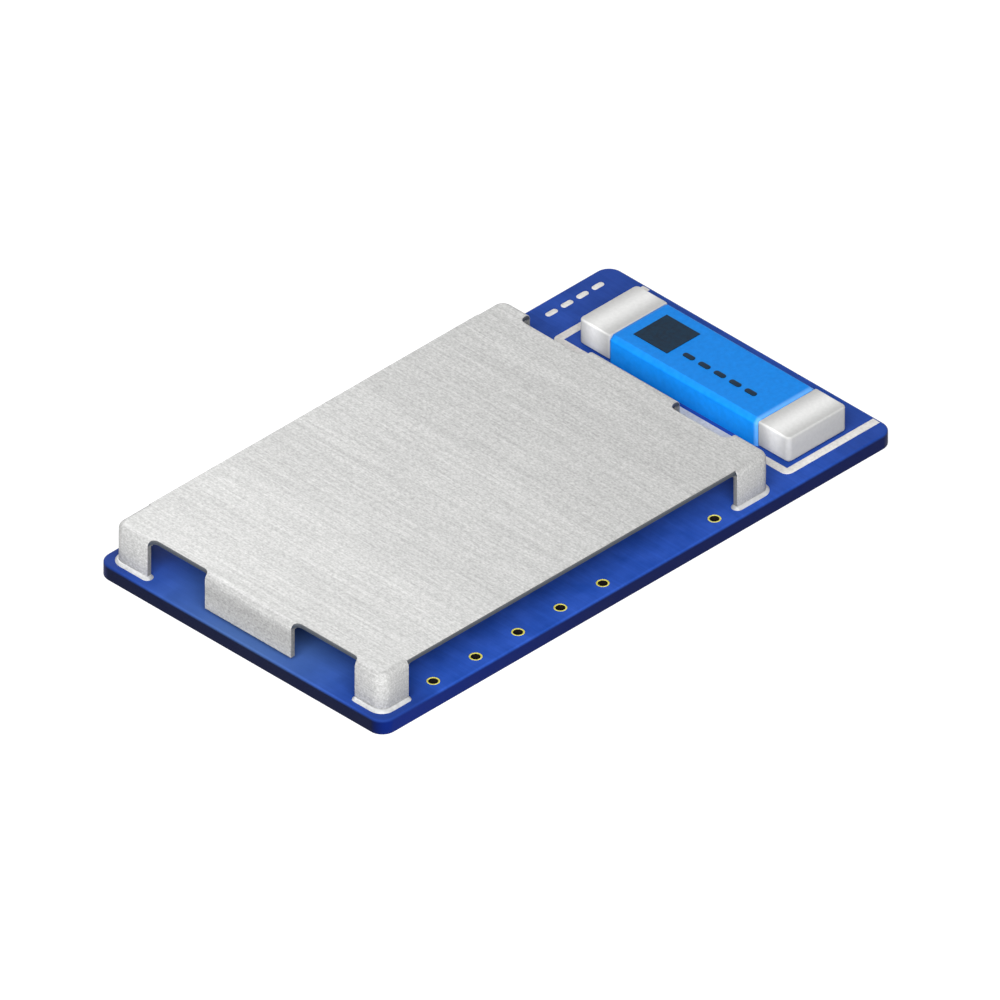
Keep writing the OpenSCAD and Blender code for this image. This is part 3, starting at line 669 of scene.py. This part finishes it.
# %% [markdown]
# ## Shield can
# The can has a flat top, legs folded down at the corners and a tab in each short side. It could be
# folded from a plate with extrude and bevel, but the bends, notches and fillets are exact in the
# frame, so a merged copy is the better start. Its cut edges are found by thickness: from a rolled
# face, the far side lies one sheet away, and from a cut edge it lies much further. Only the outer
# edges are eased. Some lines of the inner bends are shorter than the easing, and a clamped bevel
# would shrink to them everywhere.

# %% Shield can
SHEET_T, SHEET_SPARE = 0.12, 1.2  # one sheet, and how much further still counts as one
CUT_EASE, CUT_STEPS = 0.012, 2

low, high = box_mm("shield_can")
bm = merged_copy("shield_can")
bm.normal_update()
walls = BVHTree.FromBMesh(bm)
outside = set()
for face in bm.faces:
    centre = face.calc_center_median()
    reach = walls.ray_cast(centre - face.normal * TOUCH, -face.normal)[3]
    is_cut = reach is None or reach > SHEET_SPARE * SHEET_T
    face.material_index = int(is_cut)
    if not is_cut and face.normal.dot(centre - (low + high) / 2) > 0:
        outside.add(face)
rims = [e for e in sharp_edges(bm) if e.is_convex and outside & set(e.link_faces)]
for face in ease(bm, rims, CUT_EASE, CUT_STEPS, clamp=False):
    face.material_index = 0
for vert in bm.verts:
    vert.co.z = min(vert.co.z, high.z)
add_piece("folded_can", bm, "can_sheet", [can_sheet, can_cut], "shield_can")

# %% [markdown]
# ## Solder at the feet
# Each foot of the can stands in a bead of solder. Solder wets both metals and freezes bright. The
# frame gives the bead its path and height with straight flanks. A copy with its upper edges
# rounded looks like metal that has flowed. The toe stays thin, because solder runs out flat on the
# copper.

# %% Solder at the feet
BEAD_EASE, BEAD_STEPS, BEAD_SHARP, BEAD_TOE = 0.006, 2, 70, 0.02

# Tin-silver solder: a bright grey skin that is smooth and only slightly blurred.
solder = speckled("tin_silver_solder", ("#abacad", "#c3c4c5"), 0.12, (0.34, 0.44), Metallic=0.4)

low = box_mm("shield_solder")[0]
bm = merged_copy("shield_solder")
bm.normal_update()
upper = [e for e in sharp_edges(bm, BEAD_SHARP)
         if e.is_convex and any(v.co.z > low.z + BEAD_TOE for v in e.verts)]
ease(bm, upper, BEAD_EASE, BEAD_STEPS, clamp=False)
add_piece("foot_beads", bm, "solder", [solder], "shield_solder")

# %% [markdown]
# ## Blue coat
# The antenna is a ceramic bar in a blue coat. The top is painted a shade darker than the sides
# and the edges: a painted shade. Beside the plain cap a pale line is painted along the coat's end:
# a painted highlight. Both could be pieces of their own, but on the real bar they are one coat, so
# one material holds them.

# %% Blue coat
# Where the painted highlight beside the plain cap starts, and where it is full.
PALE_LINE_STARTS, PALE_LINE_FULL = 0.13, 0.04  # gaps to the plain cap

# Epoxy lacquer on ceramic: a strong clear blue with a soft shine and a faint mottle.
antenna_coat = speckled("blue_epoxy_lacquer", ("#0c80de", "#158aea"), 0.12, (0.4, 0.5),
                        Specular_IOR_Level=0.1)
plain_y = box_mm("antenna_plain_cap")[1].y
tree = antenna_coat.node_tree
base = tree.nodes["Principled BSDF"].inputs["Base Color"]
where = add_node(tree, "TexCoord")
facing = add_node(tree, "SeparateXYZ", links={0: where.outputs["Normal"]})
spot = add_node(tree, "SeparateXYZ", links={0: where.outputs["Object"]})
# The top painted a shade darker: painted shade.
painted_top_shade = add_node(tree, "MapRange", {"From Min": 0.5, "From Max": 1, "To Min": 1, "To Max": 0.8},
                  {"Value": facing.outputs["Z"]})
painted_top_shade_mix = add_node(tree, "Mix", TINT, {6: base.links[0].from_socket, 7: painted_top_shade})
# A pale line beside the plain cap: a painted highlight along the coat's end.
thin = add_node(tree, "MapRange", {**SOFTLY, "From Min": (plain_y + PALE_LINE_STARTS) / MM,
                                   "From Max": (plain_y + PALE_LINE_FULL) / MM, "To Max": 0.28},
                {"Value": spot.outputs["Y"]})
colour = add_node(tree, "Mix", {**BLEND, 7: linear("#9ccdf6")}, {0: thin, 6: painted_top_shade_mix})
tree.links.new(colour.outputs[2], base)

# %% [markdown]
# ## Coated bar
# A block with bevelled edges is the right start for the bar. The coat's edges are wide and soft,
# because lacquer pulls back from a corner, and they catch a light line. Two planes mark off the
# ends, where the coat draws in towards the caps, and only the end points are scaled.

# %% Coated bar
COAT_EDGE, COAT_END, COAT_DROP = 0.11, 0.07, 0.025
COAT_SOFT, COAT_SOFT_STEPS, COAT_SHARP = 0.015, 2, 10

bar_low, bar_high = box_mm("antenna_bar")
bar_low.y, bar_high.y = plain_y, box_mm("antenna_feed_cap")[0].y
bm = bmesh.new()
block(bm, bar_low, bar_high)
shoulders = [e for e in bm.edges if all(v.co.z > bar_low.z for v in e.verts)
             and abs(e.verts[0].co.y - e.verts[1].co.y) > TOUCH]
ease(bm, shoulders, COAT_EDGE, 1)
for y in (bar_low.y + COAT_END, bar_high.y - COAT_END):
    bmesh.ops.bisect_plane(bm, geom=bm.verts[:] + bm.edges[:] + bm.faces[:], plane_co=(0, y, 0),
                           plane_no=(0, 1, 0))
ends = [v for v in bm.verts if min(v.co.y - bar_low.y, bar_high.y - v.co.y) < TOUCH]
foot = Vector(((bar_low.x + bar_high.x) / 2, 0, bar_low.z))
drawn_in = [1 - 2 * COAT_DROP / (bar_high.x - bar_low.x), 1,
            1 - COAT_DROP / (bar_high.z - bar_low.z)]
bmesh.ops.scale(bm, vec=drawn_in, space=Matrix.Translation(-foot), verts=ends)
upper = [e for e in sharp_edges(bm, COAT_SHARP) if any(v.co.z > bar_low.z + TOUCH for v in e.verts)]
ease(bm, upper, COAT_SOFT, COAT_SOFT_STEPS)
add_piece("coated_bar", bm, "antenna_coat", [antenna_coat], "antenna_bar")

# %% [markdown]
# ## Cap plating
# The bar's two ends were dipped in silver paste, fired and plated. Each cap is painted with a
# bright band across its middle, a painted light, and with painted shade towards both of its ends.
# Its top is painted a shade darker than the sides, a painted shade too. The bright band is
# measured from the bar's middle, so that one material serves both caps.

# %% Cap plating
PAINTED_LIGHT_AT, PAINTED_LIGHT_REACH = 0.48, 0.5  # as shares of a cap's length, the first from its outer end

# Tin plating over fired silver: a satin, warm light grey.
cap_plating = speckled("matt_tin_plating", ("#dadad9", "#e3e3e2"), 0.08, (0.42, 0.55), 0.0005,
                       Metallic=0.12)
feed_low, feed_high = box_mm("antenna_feed_cap")
bar_middle = (box_mm("antenna_plain_cap")[0].y + feed_high.y) / 2
cap_l = feed_high.y - feed_low.y
painted_light_y = feed_high.y - bar_middle - cap_l * PAINTED_LIGHT_AT
tree = cap_plating.node_tree
base = tree.nodes["Principled BSDF"].inputs["Base Color"]
where = add_node(tree, "TexCoord")
facing = add_node(tree, "SeparateXYZ", links={0: where.outputs["Normal"]})
spot = add_node(tree, "SeparateXYZ", links={0: where.outputs["Object"]})
shifted = add_node(tree, "Math", {"operation": "SUBTRACT", 1: bar_middle / MM},
                   {0: spot.outputs["Y"]})
apart = add_node(tree, "Math", {"operation": "ABSOLUTE"}, {0: shifted})
past = add_node(tree, "Math", {"operation": "SUBTRACT", 1: painted_light_y / MM}, {0: apart})
off = add_node(tree, "Math", {"operation": "ABSOLUTE"}, {0: past})
# A bright band across each cap's middle, darker towards both ends: painted light and shade.
band = add_node(tree, "MapRange", {**SOFTLY, "From Max": PAINTED_LIGHT_REACH * cap_l / MM,
                                   "To Min": 1.03, "To Max": 0.62}, {"Value": off})
painted_light_band = add_node(tree, "Mix", TINT, {6: base.links[0].from_socket, 7: band})
# The top painted a shade darker: painted shade.
painted_cap_top_shade = add_node(tree, "MapRange", {"From Min": 0.8, "From Max": 1, "To Min": 1, "To Max": 0.88},
                  {"Value": facing.outputs["Z"]})
colour = add_node(tree, "Mix", TINT, {6: painted_light_band, 7: painted_cap_top_shade})
tree.links.new(colour.outputs[2], base)

# %% [markdown]
# ## End caps
# A cap is a block whose edges are all round, because the paste flowed before it was fired. The two
# upright edges of its outer end get a wider rounding first, and the rest is eased after that.

# %% End caps
CAP_CORNER_R, CAP_CORNER_STEPS = 0.12, 6
CAP_EDGE_R, CAP_EDGE_STEPS = 0.05, 5

for name, node in (("feed_cap", "antenna_feed_cap"), ("plain_cap", "antenna_plain_cap")):
    bm = bmesh.new()
    low, high = box_mm(node)
    block(bm, low, high)
    outer_y = max(low.y, high.y, key=lambda y: abs(y - bar_middle))
    corners = [e for e in bm.edges if all(abs(v.co.y - outer_y) < TOUCH for v in e.verts)
               and e.verts[0].co.x == e.verts[1].co.x]
    ease(bm, corners, CAP_CORNER_R, CAP_CORNER_STEPS)
    ease(bm, sharp_edges(bm), CAP_EDGE_R, CAP_EDGE_STEPS)
    add_piece(name, bm, "cap_plating", [cap_plating], node)

# %% [markdown]
# ## Dark print on the antenna
# A dark square on the coat tells which end of the antenna is which, and a row of dashes stands
# beside it. They could be painted into the coat's material, but ink has a thickness and catches
# light on its rim, so they are thin blocks with eased upper edges.

# %% Dark print on the antenna
# Dark epoxy ink over the blue coat: a blue-black, matt film.
dark_ink = speckled("legend_ink_dark", ("#0a1c2c", "#122a3d"), 0.08, (0.45, 0.6), 0.001,
                    Specular_IOR_Level=0.1)

bm = bmesh.new()
low, high = box_mm("antenna_mark")
block(bm, low, high)
upper = [e for e in bm.edges if all(v.co.z > low.z + TOUCH for v in e.verts)]
ease(bm, upper, INK_EASE, INK_STEPS)
add_piece("square_mark", bm, "dark_ink", [dark_ink], "antenna_mark")
add_piece("antenna_dashes", dashes("antenna_print"), "dark_ink", [dark_ink], "antenna_print")

# %% [markdown]
# ## Finishes under the can, and on the lands
# Under the can stand the chips, crystals and small two-ended parts, and flat copper lands lie on
# both sides of the board. One grey for all would do, since little of it shows. But the part is
# looked at from all sides, so each finish is the speckled one with the shades, grain and gloss of
# its own.

# %% Finishes under the can, and on the lands
# Epoxy filled with silica: black, matt, with a fine grit.
mould = speckled("black_moulding_compound", ("#1d1e21", "#303136"), 0.06, (0.55, 0.75), 0.003)
# A thin skin of gold on flat copper: a warm yellow metal, slightly blurred.
land_gold = speckled("immersion_gold", ("#c8a548", "#dfc06a"), 0.06, (0.3, 0.42), 0.0005,
                     Metallic=1)
# Plated tin on leads and ends: a light, satin metal.
tin = speckled("matt_tin", ("#c4c4c2", "#e0e0de"), 0.08, (0.35, 0.5), 0.001, Metallic=1)
# Three fired ceramics, each matt and finely grained: tan, white and grey-blue.
ceramic = speckled("tan_fired_ceramic", ("#bfae90", "#d8cbb2"), 0.07, (0.5, 0.65), 0.002)
filter_ceramic = speckled("white_fired_ceramic", ("#dcd7c9", "#efebe0"), 0.07, (0.45, 0.6), 0.002)
coil_ceramic = speckled("grey_blue_ceramic", ("#7f94aa", "#9db0c4"), 0.07, (0.45, 0.6), 0.002)
# Pressed iron oxide powder: a dark grey that looks like fine stone.
ferrite = speckled("pressed_ferrite", ("#47484c", "#626368"), 0.05, (0.55, 0.75), 0.003)
# A rolled lid: a warm, satin metal with faint lines along Y.
lid_metal = speckled("satin_nickel_iron_lid", ("#c6c3bb", "#dedbd3"), (0.04, 0.6, 0.04),
                     (0.25, 0.4), 0.0005, Metallic=1)

# %% [markdown]
# ## Dressing the solids
# The shapes of these solids are right as they are, so they stay, and each takes the first finish
# in this list whose test its name passes. A list of all names would be longer, and the names
# already say what each solid is.

# %% Dressing the solids
for name, node in nodes.items():
    kinds = (
        (name.endswith(("_leads", "_ends")), tin),
        (name.endswith("_lands") or name == "ground_land", land_gold),
        (name.endswith("_chip") or name.startswith("resistor"), mould),
        (name.endswith("_base") or name.startswith("capacitor"), ceramic),
        (name.endswith("_lid"), lid_metal),
        (name == "band_filter", filter_ceramic),
        (name == "supply_coil", ferrite),
        (name.startswith("match_coil"), coil_ceramic),
    )
    chosen = next((material for fits, material in kinds if fits), None)
    if chosen:
        node.data.materials.clear()
        node.data.materials.append(chosen)
        print("Solid:", name, "in", chosen.name)
